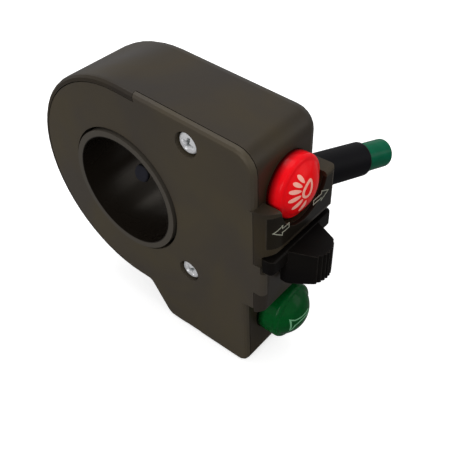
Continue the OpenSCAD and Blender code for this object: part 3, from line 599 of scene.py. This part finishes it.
def printed_line(name, path, width, surface, thick=0.00004, per_edge=8):
    """A thin film of paint that follows a closed path of corners: each edge is split evenly, both
    sides are set off by half the width along the mitre of the edges that meet, and the four corners
    of the film's section are laid just under and just over the surface that carries it."""
    corners = np.array(path, float)
    share = np.linspace(0, 1, per_edge, endpoint=False)[None, :, None]
    following = np.roll(corners, -1, 0)
    line = (corners[:, None] * (1 - share) + following[:, None] * share).reshape(-1, 2)
    ahead = np.roll(line, -1, 0) - line
    ahead /= np.linalg.norm(ahead, axis=1, keepdims=True)
    square = np.stack([-ahead[:, 1], ahead[:, 0]], axis=1)
    before = np.roll(square, 1, 0)
    mitre = (square + before) / (1 + (square * before).sum(1, keepdims=True))
    inner, outer = line - mitre * width / 2, line + mitre * width / 2
    rows = [surface(inner, -thick), surface(inner, thick),
            surface(outer, thick), surface(outer, -thick)]
    return grid_mesh(name, np.stack(rows), closed_rows=True)


def pod_front(flat, lift):
    """The pod's front at (x, z), set off by lift: flat past the near corner, and a quarter circle
    on it."""
    x, z = flat[:, 0], flat[:, 1]
    angle = np.arcsin(np.clip((pod_corner - x) / pod_corner, 0, 0.999))
    radius = pod_corner + lift
    centre_y = arrow_face_y + pod_corner
    on_corner = x < pod_corner
    corner_y = centre_y - radius * np.cos(angle)
    return np.stack([np.where(on_corner, pod_corner - radius * np.sin(angle), x),
                     np.where(on_corner, corner_y, arrow_face_y - lift), z], axis=1)


def arrow_path(tip, tail):
    """The seven corners of an arrow's outline from its tip, along X, to its tail."""
    head = tip + (tail - tip) * arrow_head_share
    outline = [(tip, 0), (head, arrow_half_head), (head, arrow_half_tail), (tail, arrow_half_tail),
               (tail, -arrow_half_tail), (head, -arrow_half_tail), (head, -arrow_half_head)]
    return [(x, arrow_mid_z + z) for x, z in outline]


def print_paint(name, colour, fade):
    """Matt printed ink, with its colour thinned in tiny patches where it has rubbed away."""
    material, shader = node_material(name)
    skin = group_node(material, moulded_grain, (-900, 0),
                      {"Grain Scale": 5200.0, "Flow Scale": 1500.0})
    thin = add_node(material, "ShaderNodeMapRange", (-600, 200),
                    {"From Min": 0.52, "From Max": 0.75, "To Max": 0.55})
    tone = colour_mix(material, (-300, 200), {"A": colour, "B": fade})
    relief = add_node(material, "ShaderNodeBump", (-300, -200),
                      {"Strength": 0.3, "Distance": 0.000004})
    wire(material, (skin, "Flow", thin, "Value"), (thin, 0, tone, "Factor"),
         (tone, "Result", shader, "Base Color"), (skin, "Height", relief, "Height"),
         (relief, 0, shader, "Normal"))
    shader.inputs["Roughness"].default_value = 0.45
    return material


arrow_ink = print_paint("arrow_ink", (0.36, 0.36, 0.28, 1), (0.20, 0.20, 0.16, 1))
for side, (tip, tail) in arrow_ends.items():
    arrow = printed_line(f"arrow_{side}", arrow_path(tip, tail), arrow_line, pod_front)
    arrow.data.materials.append(arrow_ink)
    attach(arrow, "housing")

# Headlight button
# A moulded cap in clear red plastic, domed, with a rounded rim and a flange under the face. A lamp
# and its rays are printed on the dome. It latches in when it is pushed, and comes out again.
button_x = 0.0088
button_radius = 0.0055
flange_radius = 0.0065
flange_height = 0.0012
face_thickness = 0.00205
cap_wall = 0.0012
cap_roof, boss_roof = 0.0015, 0.0018
cap_boss_radius, cap_bore_radius = 0.0026, 0.0012
boss_back = 0.00005
rim_rounding = 0.0008
rim_angle = 68
step_break, edge_break = 0.00008, 0.0001
# Painted shade towards a button's foot, in its well.
foot_shade_near, foot_shade_far = 0.0003, 0.0016
red_face_y, red_z, red_rim, red_dome = -0.030, 0.011, 0.0027, 0.0019
print_thickness = 0.00003
lamp_middle = np.array([-0.00075, 0.00115])
lamp_half_width, lamp_half_height, lamp_tilt = 0.00076, 0.00138, -0.62
lamp_line = 0.00044
ray_count, ray_half_width, ray_point = 6, 0.00036, -0.25
ray_first_turn, ray_turn_step = 113, 28.6
ray_start, ray_start_step = 0.0014, 0.00020
ray_end, ray_end_step = 0.0029, 0.00036


def dome_height(radius, rim, dome):
    """Height of the cap over its face: a sphere whose rise over the rim is the dome's height."""
    crown = button_radius - rim_rounding
    ball = (crown ** 2 + dome ** 2) / (2 * dome)
    return rim + dome - ball + np.sqrt(ball ** 2 - np.minimum(radius, crown) ** 2)


def button_cap(name, face_y, axis_z, rim, dome):
    """The cap's section as (height over its face, radius), turned round the button's own axis."""
    crown = button_radius - rim_rounding
    top = np.linspace(0, crown, 22)
    corner = np.radians(np.linspace(rim_angle, 0, 9))
    flange = -face_thickness
    back = flange - flange_height
    section = np.concatenate([
        np.stack([dome_height(top, rim, dome), top], 1),
        np.stack([rim - rim_rounding + rim_rounding * np.sin(corner),
                  crown + rim_rounding * np.cos(corner)], 1),
        [(flange + step_break, button_radius), (flange, button_radius + step_break),
         (flange, flange_radius - edge_break), (flange - edge_break, flange_radius),
         (back, flange_radius), (back, button_radius - cap_wall),
         (rim - cap_roof, button_radius - cap_wall), (rim - cap_roof, cap_boss_radius),
         (back + boss_back, cap_boss_radius), (back + boss_back, cap_bore_radius),
         (rim - boss_roof, cap_bore_radius), (rim - boss_roof, 0)]])
    points = revolved(section, 72)
    return grid_mesh(name, np.stack([button_x + points[..., 1], face_y - points[..., 0],
                                     axis_z + points[..., 2]], axis=-1))


def clear_plastic(name, colour, deep, glow_depth, foot_y=1.0):
    """Coloured clear plastic: light enters and scatters below a hard gloss, with faint flow marks.
    Painted shade darkens it over the last stretch before the foot, where the button stands in its well."""
    material, shader = node_material(name)
    skin = group_node(material, moulded_grain, (-900, 0),
                      {"Grain Scale": 1600.0, "Flow Scale": 160.0})
    tone = colour_mix(material, (-400, 200), {"A": deep, "B": colour})
    place = add_node(material, "ShaderNodeTexCoord", (-900, 500))
    ahead = add_node(material, "ShaderNodeSeparateXYZ", (-700, 500))
    foot = add_node(material, "ShaderNodeMapRange", (-500, 500),
                    {"From Min": foot_y - foot_shade_near, "From Max": foot_y - foot_shade_far,
                     "To Min": 0.04})
    shaded = colour_mix(material, (-200, 300), {"Factor": 1}, blend="MULTIPLY")
    gloss = add_node(material, "ShaderNodeMapRange", (-400, 0), {"To Min": 0.10, "To Max": 0.20})
    relief = add_node(material, "ShaderNodeBump", (-400, -250),
                      {"Strength": 0.25, "Distance": 0.000003})
    wire(material, (skin, "Flow", tone, "Factor"), (place, "Object", ahead, 0),
         (ahead, "Y", foot, "Value"), (tone, "Result", shaded, "A"), (foot, 0, shaded, "B"),
         (shaded, "Result", shader, "Base Color"), (skin, "Flow", gloss, "Value"),
         (gloss, 0, shader, "Roughness"), (skin, "Height", relief, "Height"),
         (relief, 0, shader, "Normal"))
    shader.inputs["Specular IOR Level"].default_value = 0.06
    shader.inputs["Subsurface Weight"].default_value = 0.3
    shader.inputs["Subsurface Radius"].default_value = glow_depth
    shader.inputs["Subsurface Scale"].default_value = 0.001
    shader.inputs["Coat Weight"].default_value = 0.03
    shader.inputs["Coat Roughness"].default_value = 0.06
    return material


red_cap = button_cap("headlight_cap", red_face_y, red_z, red_rim, red_dome)
red_cap.data.materials.append(clear_plastic("red_button", (0.96, 0.007, 0.006, 1),
                                            (0.82, 0.003, 0.014, 1), (1.0, 0.15, 0.1),
                                            foot_y=red_face_y))
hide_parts("headlight_button")
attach(red_cap, "headlight_button")


def on_dome(face_y, axis_z, rim, dome):
    """Lays flat (across, up) points on a button's dome, set off along its height by lift."""
    def laid(flat, lift):
        radius = np.linalg.norm(flat, axis=1)
        height = dome_height(radius, rim, dome) + lift
        return np.stack([button_x + flat[:, 0], face_y - height, axis_z + flat[:, 1]], axis=1)
    return laid


def printed_patch(name, path, surface):
    """A filled patch of paint: rings of points shrink evenly from its outline to its middle."""
    outline = np.array(path, float)
    middle_point = outline.mean(0)
    share = np.array([0, 0.5, 1, 1, 0])[:, None, None]
    lift = np.array([1, 1, 1, -1, -1]) * print_thickness
    rings = middle_point + (outline - middle_point) * share
    return grid_mesh(name, np.stack([surface(ring, up) for ring, up in zip(rings, lift)]))


def egg_path(centre, half_width, half_height, tilt, count=40, point=0.35):
    """A closed egg: an ellipse whose width shrinks towards its upper end, tilted."""
    angle = np.linspace(0, 2 * math.pi, count, endpoint=False)
    across = half_width * np.cos(angle) * (1 - point * np.sin(angle))
    up = half_height * np.sin(angle)
    return np.stack([centre[0] + across * math.cos(tilt) - up * math.sin(tilt),
                     centre[1] + across * math.sin(tilt) + up * math.cos(tilt)], axis=1)


lamp_ink = print_paint("lamp_ink", (1.0, 0.46, 0.36, 1), (0.97, 0.27, 0.19, 1))
red_top = on_dome(red_face_y, red_z, red_rim, red_dome)
lamp_oval = egg_path(lamp_middle, lamp_half_width, lamp_half_height, lamp_tilt)
lamp = printed_line("lamp_mark", lamp_oval, lamp_line, red_top, thick=print_thickness, per_edge=2)
lamp_pieces = [lamp]
for number in range(ray_count):
    turn = math.radians(ray_first_turn + ray_turn_step * number)
    start = ray_start + ray_start_step * max(number - 2, 0)
    end = ray_end + ray_end_step * max(number - 1, 0)
    along = np.array([math.cos(turn), math.sin(turn)])
    ray = egg_path(lamp_middle + along * (start + end) / 2, ray_half_width, (end - start) / 2,
                   turn - math.pi / 2, 24, ray_point)
    lamp_pieces.append(printed_patch(f"lamp_ray_{number + 1}", ray, red_top))
for piece in lamp_pieces:
    piece.data.materials.append(lamp_ink)
    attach(piece, "headlight_button")

# Horn button
# The lower cap is moulded in clear green plastic, in the same shape as the red one but taller, and
# springs back when it is let go. A horn is printed on it in outline.
green_face_y, green_z, green_rim, green_dome = -0.028, -0.019, 0.0044, 0.0025
horn_line = 0.00026

green_cap = button_cap("horn_cap", green_face_y, green_z, green_rim, green_dome)
green_cap.data.materials.append(clear_plastic("green_button", (0.001, 0.090, 0.014, 1),
                                              (0.001, 0.040, 0.010, 1), (0.2, 1.0, 0.4),
                                              foot_y=green_face_y))
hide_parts("horn_button")
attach(green_cap, "horn_button")

horn_path = [(-0.0030, 0.0015), (-0.0022, 0.0011), (-0.0010, 0.00105), (0.0016, 0.00105),
             (0.0016, 0.00045), (0.0004, 0.00045), (-0.0010, 0.0003), (-0.0022, -0.0002),
             (-0.0030, -0.0017)]
green_top = on_dome(green_face_y, green_z, green_rim, green_dome)
horn_mark = printed_line("horn_mark", horn_path, horn_line, green_top, thick=print_thickness,
                         per_edge=5)
horn_mark.data.materials.append(print_paint("horn_ink", (0.16, 0.42, 0.22, 1),
                                            (0.03, 0.20, 0.07, 1)))
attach(horn_mark, "horn_button")

# Slider knob
# One moulding in soft-touch black: a long skirt that covers the slot in every place of the slider,
# and a wedge for the thumb with upright grip ribs over its front.
knob_bevel = 0.0001

knob_plastic = moulded_plastic("slider_plastic", (0.0025, 0.002, 0.002, 1),
                               (0.006, 0.005, 0.004, 1), (0.035, 0.030, 0.025, 1), 0.42,
                               grain=3600.0, sheen_level=0.05)
knob = dressed_solid("slider_knob", "thumb_slider", knob_bevel)
knob.data.materials.append(knob_plastic)
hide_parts("slider_knob")
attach(knob, "turn_slider")

# Lead
# A black rubber boot leaves the housing's far wall, bends forwards and carries the cable to its
# green end sleeve. The inner cable runs on into the housing, where a clamp holds it to the board.
lead_start = np.array([0.020, -0.01615, -0.0045])
lead_roll = math.radians(217.4)
lead_radius = 0.009
lead_bend = math.radians(18.8)
wall_inside_x, wall_outside_x = 0.0156, 0.0176
core_radius = 0.00215
boot_radius = 0.00375
boot_neck = 0.0032
boot_flange, boot_foot = 0.0008, 0.0012
boot_break, boot_lip = 0.0002, 0.0005
boot_length = 0.0245
end_radius = 0.00315
end_length = 0.0072
end_lip = 0.0007
end_seat, end_play = 0.005, 0.00005
end_disc, end_dimple = 0.001, 0.0001
dimple_radius, dimple_rim = 0.0003, 0.9
boot_first, boot_last, boot_rings = 0.0004, 0.0006, 60
end_first, end_last, end_rings = 0.004, 0.0008, 14


def along_lead(section):
    """A section of (place along the lead, radius) turned round the lead's line, which is straight,
    then an arc of the lead's radius through its bend, then straight again. The line lies in a
    plane that is turned round X by the roll."""
    place, radius = np.array(section, float).T
    angle = np.linspace(0, 2 * math.pi, 48, endpoint=False)
    turn = np.clip(place / lead_radius, 0, lead_bend)[:, None]
    rest = np.where(place < 0, place, np.maximum(place - lead_radius * lead_bend, 0))[:, None]
    aside, over = radius[:, None] * np.cos(angle), radius[:, None] * np.sin(angle)
    ahead = lead_radius * np.sin(turn) + rest * np.cos(turn) - aside * np.sin(turn)
    across = lead_radius * (1 - np.cos(turn)) + rest * np.sin(turn) + aside * np.cos(turn)
    cosine, sine = math.cos(lead_roll), math.sin(lead_roll)
    return lead_start + np.stack([ahead, across * cosine - over * sine,
                                  across * sine + over * cosine], axis=-1)


def rounded_lip(end, radius, lip, first, count):
    """The quarter circle, from its first angle on, that rounds a tube of that radius at its end."""
    return [(end - lip + lip * math.sin(angle), radius - lip + lip * math.cos(angle))
            for angle in np.linspace(first, math.pi / 2, count)]


bend_length = lead_radius * lead_bend
mouth = bend_length + boot_length
neck_in, neck_out = wall_inside_x - lead_start[0], wall_outside_x - lead_start[0]
boot_section = [(neck_in - boot_foot, core_radius), (neck_in - boot_foot, boot_neck + boot_flange),
                (neck_in, boot_neck + boot_flange), (neck_in, boot_neck), (neck_out, boot_neck),
                (neck_out, boot_radius - boot_break), (neck_out + boot_break, boot_radius),
                *[(s, boot_radius) for s in np.linspace(boot_first, mouth - boot_last, boot_rings)],
                *rounded_lip(mouth, boot_radius, boot_lip, 0.2, 6),
                (mouth, end_radius + end_play), (mouth - end_seat, end_radius + end_play),
                (mouth - end_seat, core_radius),
                *[(s, core_radius) for s in np.linspace(bend_length, 0, 8)]]
boot = grid_mesh("lead_boot", along_lead(boot_section), closed_rows=True)
boot.data.materials.append(moulded_plastic("boot_rubber", (0.0025, 0.0025, 0.004, 1),
                                           (0.0050, 0.0045, 0.0055, 1), (0.02, 0.02, 0.02, 1), 0.50,
                                           grain=1800.0, depth=0.000008, sheen_level=0.07))
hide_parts("cable_sleeve")
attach(boot, "housing")

end_back, end_tip = mouth - end_seat + end_play, mouth + end_length
end_section = [(end_back, core_radius), (end_back, end_radius),
               *[(s, end_radius)
                 for s in np.linspace(mouth - end_first, end_tip - end_last, end_rings)],
               *rounded_lip(end_tip, end_radius, end_lip, 0.15, 7),
               (end_tip, core_radius * dimple_rim), (end_tip, dimple_radius), (end_tip - end_dimple, 0),
               (end_tip - end_disc, 0), (end_tip - end_disc, core_radius)]
green_end = grid_mesh("lead_end", along_lead(end_section), closed_rows=True)
green_end.data.materials.append(clear_plastic("green_end", (0.002, 0.14, 0.066, 1),
                                              (0.001, 0.075, 0.036, 1), (0.2, 1.0, 0.5)))
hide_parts("cable_end")
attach(green_end, "housing")

dress_node("lead_core", moulded_plastic("core_jacket", (0.016, 0.016, 0.018, 1),
                                        (0.028, 0.027, 0.028, 1), (0.06, 0.06, 0.06, 1), 0.5))
dress_node("cable_clamp", moulded_plastic("clamp_plastic", (0.012, 0.012, 0.013, 1),
                                          (0.020, 0.020, 0.022, 1), (0.06, 0.06, 0.06, 1), 0.42))
dress_node("lead_wires", moulded_plastic("wire_insulation", (0.42, 0.030, 0.020, 1),
                                         (0.55, 0.045, 0.030, 1), (0.60, 0.10, 0.08, 1), 0.36))

# Circuit board and switches
# A green glass-fibre board carries the latching headlight switch, the horn switch and the block
# with the turn signal pads. Copper runs lie under its lacquer, and the terminals are brass.


def board_lacquer(name):
    """Green lacquer over straight copper runs, which show as the paler raised bands of a brick
    pattern."""
    material, shader = node_material(name)
    place = add_node(material, "ShaderNodeTexCoord", (-1200, 0))
    turned_up = add_node(material, "ShaderNodeMapping", (-1000, 0),
                         {"Rotation": (math.radians(90), 0, math.radians(90)),
                          "Scale": (420, 420, 420)})
    runs = add_node(material, "ShaderNodeTexBrick", (-750, 100),
                    {"Color1": (0.012, 0.15, 0.045, 1), "Color2": (0.010, 0.12, 0.038, 1),
                     "Mortar": (0.035, 0.27, 0.09, 1), "Scale": 1.0, "Mortar Size": 0.05})
    skin = group_node(material, moulded_grain, (-1000, -300),
                      {"Grain Scale": 2400.0, "Flow Scale": 300.0})
    cloth = colour_mix(material, (-400, 150), {"Factor": 0.35}, blend="MULTIPLY")
    relief = add_node(material, "ShaderNodeBump", (-300, -200),
                      {"Strength": 0.5, "Distance": 0.00003})
    wire(material, (place, "Object", turned_up, "Vector"), (turned_up, 0, runs, "Vector"),
         (runs, "Color", cloth, "A"), (skin, "Flow", cloth, "B"),
         (cloth, "Result", shader, "Base Color"), (runs, "Fac", relief, "Height"),
         (relief, 0, shader, "Normal"))
    shader.inputs["Roughness"].default_value = 0.3
    return material


dress_node("circuit_board", board_lacquer("board_laminate"))
ivory = moulded_plastic("ivory_plastic", (0.62, 0.58, 0.48, 1), (0.70, 0.66, 0.56, 1),
                        (0.80, 0.77, 0.70, 1), 0.42)
slate = moulded_plastic("switch_plastic", (0.045, 0.050, 0.060, 1), (0.065, 0.070, 0.080, 1),
                        (0.12, 0.12, 0.13, 1), 0.44)
ink_blue = moulded_plastic("contact_block", (0.018, 0.026, 0.060, 1), (0.026, 0.036, 0.080, 1),
                           (0.07, 0.08, 0.12, 1), 0.40)
brass = plated_metal("contact_brass", (0.78, 0.56, 0.22, 1), (0.58, 0.40, 0.15, 1), 0.28,
                     lines=2500.0)
for node, material in {"latch_module": ivory, "horn_module": slate, "turn_contact_block": ink_blue,
                       "headlight_contacts": brass, "horn_contacts": brass, "turn_contacts": brass,
                       "headlight_plunger": ivory, "horn_plunger": ivory}.items():
    dress_node(node, material)

# Springs, latch pin and slider works
# Steel wire springs return both buttons and press the detent ball into its notches. The carriage
# is a grey sliding plastic, held to the knob by one screw, and carries the brass wiper bridge.
coil_radius, coil_wire = 0.0034, 0.00025
coil_turns, points_per_turn = 6, 28
coil_front_gap = 0.00155
coil_foot_y = -0.02165


def wire_coil(name, front_y, axis_z):
    """A button's spring: the middle of its wire runs round the button's axis at the coil's radius
    and rises evenly along Y from its front end to its foot. Both ends are closed by a point."""
    angle = np.linspace(0, 2 * math.pi * coil_turns, points_per_turn * coil_turns + 1)
    along = np.linspace(front_y + coil_wire, coil_foot_y - coil_wire, len(angle))
    angle = np.pad(angle, 1, mode="edge")[:, None]
    along = np.pad(along, 1, mode="edge")[:, None]
    thick = np.full_like(angle, coil_wire)
    thick[[0, -1]] = 0
    around = np.linspace(0, 2 * math.pi, 12, endpoint=False)
    out = coil_radius + thick * np.cos(around)
    return grid_mesh(name, np.stack([button_x + out * np.cos(angle), along + thick * np.sin(around),
                                     axis_z + out * np.sin(angle)], axis=-1))


spring_steel = plated_metal("spring_steel", (0.62, 0.62, 0.64, 1), (0.40, 0.40, 0.42, 1), 0.24)
ball_steel = plated_metal("ball_steel", (0.80, 0.80, 0.82, 1), (0.66, 0.66, 0.68, 1), 0.12)
carriage_grey = moulded_plastic("carriage_plastic", (0.20, 0.205, 0.215, 1),
                                (0.25, 0.255, 0.265, 1), (0.36, 0.36, 0.37, 1), 0.45)
button_springs = (("headlight_spring", "headlight_push", red_face_y, red_rim, red_z),
                  ("horn_spring", "horn_push", green_face_y, green_rim, green_z))
for name, joint, face_y, rim, axis_z in button_springs:
    front_y = face_y - rim + coil_front_gap
    coil = wire_coil(name + "_coil", front_y, axis_z)
    coil.data.materials.append(spring_steel)
    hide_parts(name)
    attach(coil, "housing")
    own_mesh(coil)
for node, material in {"detent_spring": spring_steel, "latch_pin": ball_steel,
                       "detent_ball": ball_steel, "slider_screw": ball_steel,
                       "slider_carriage": carriage_grey, "wiper_bridge": brass}.items():
    dress_node(node, material)
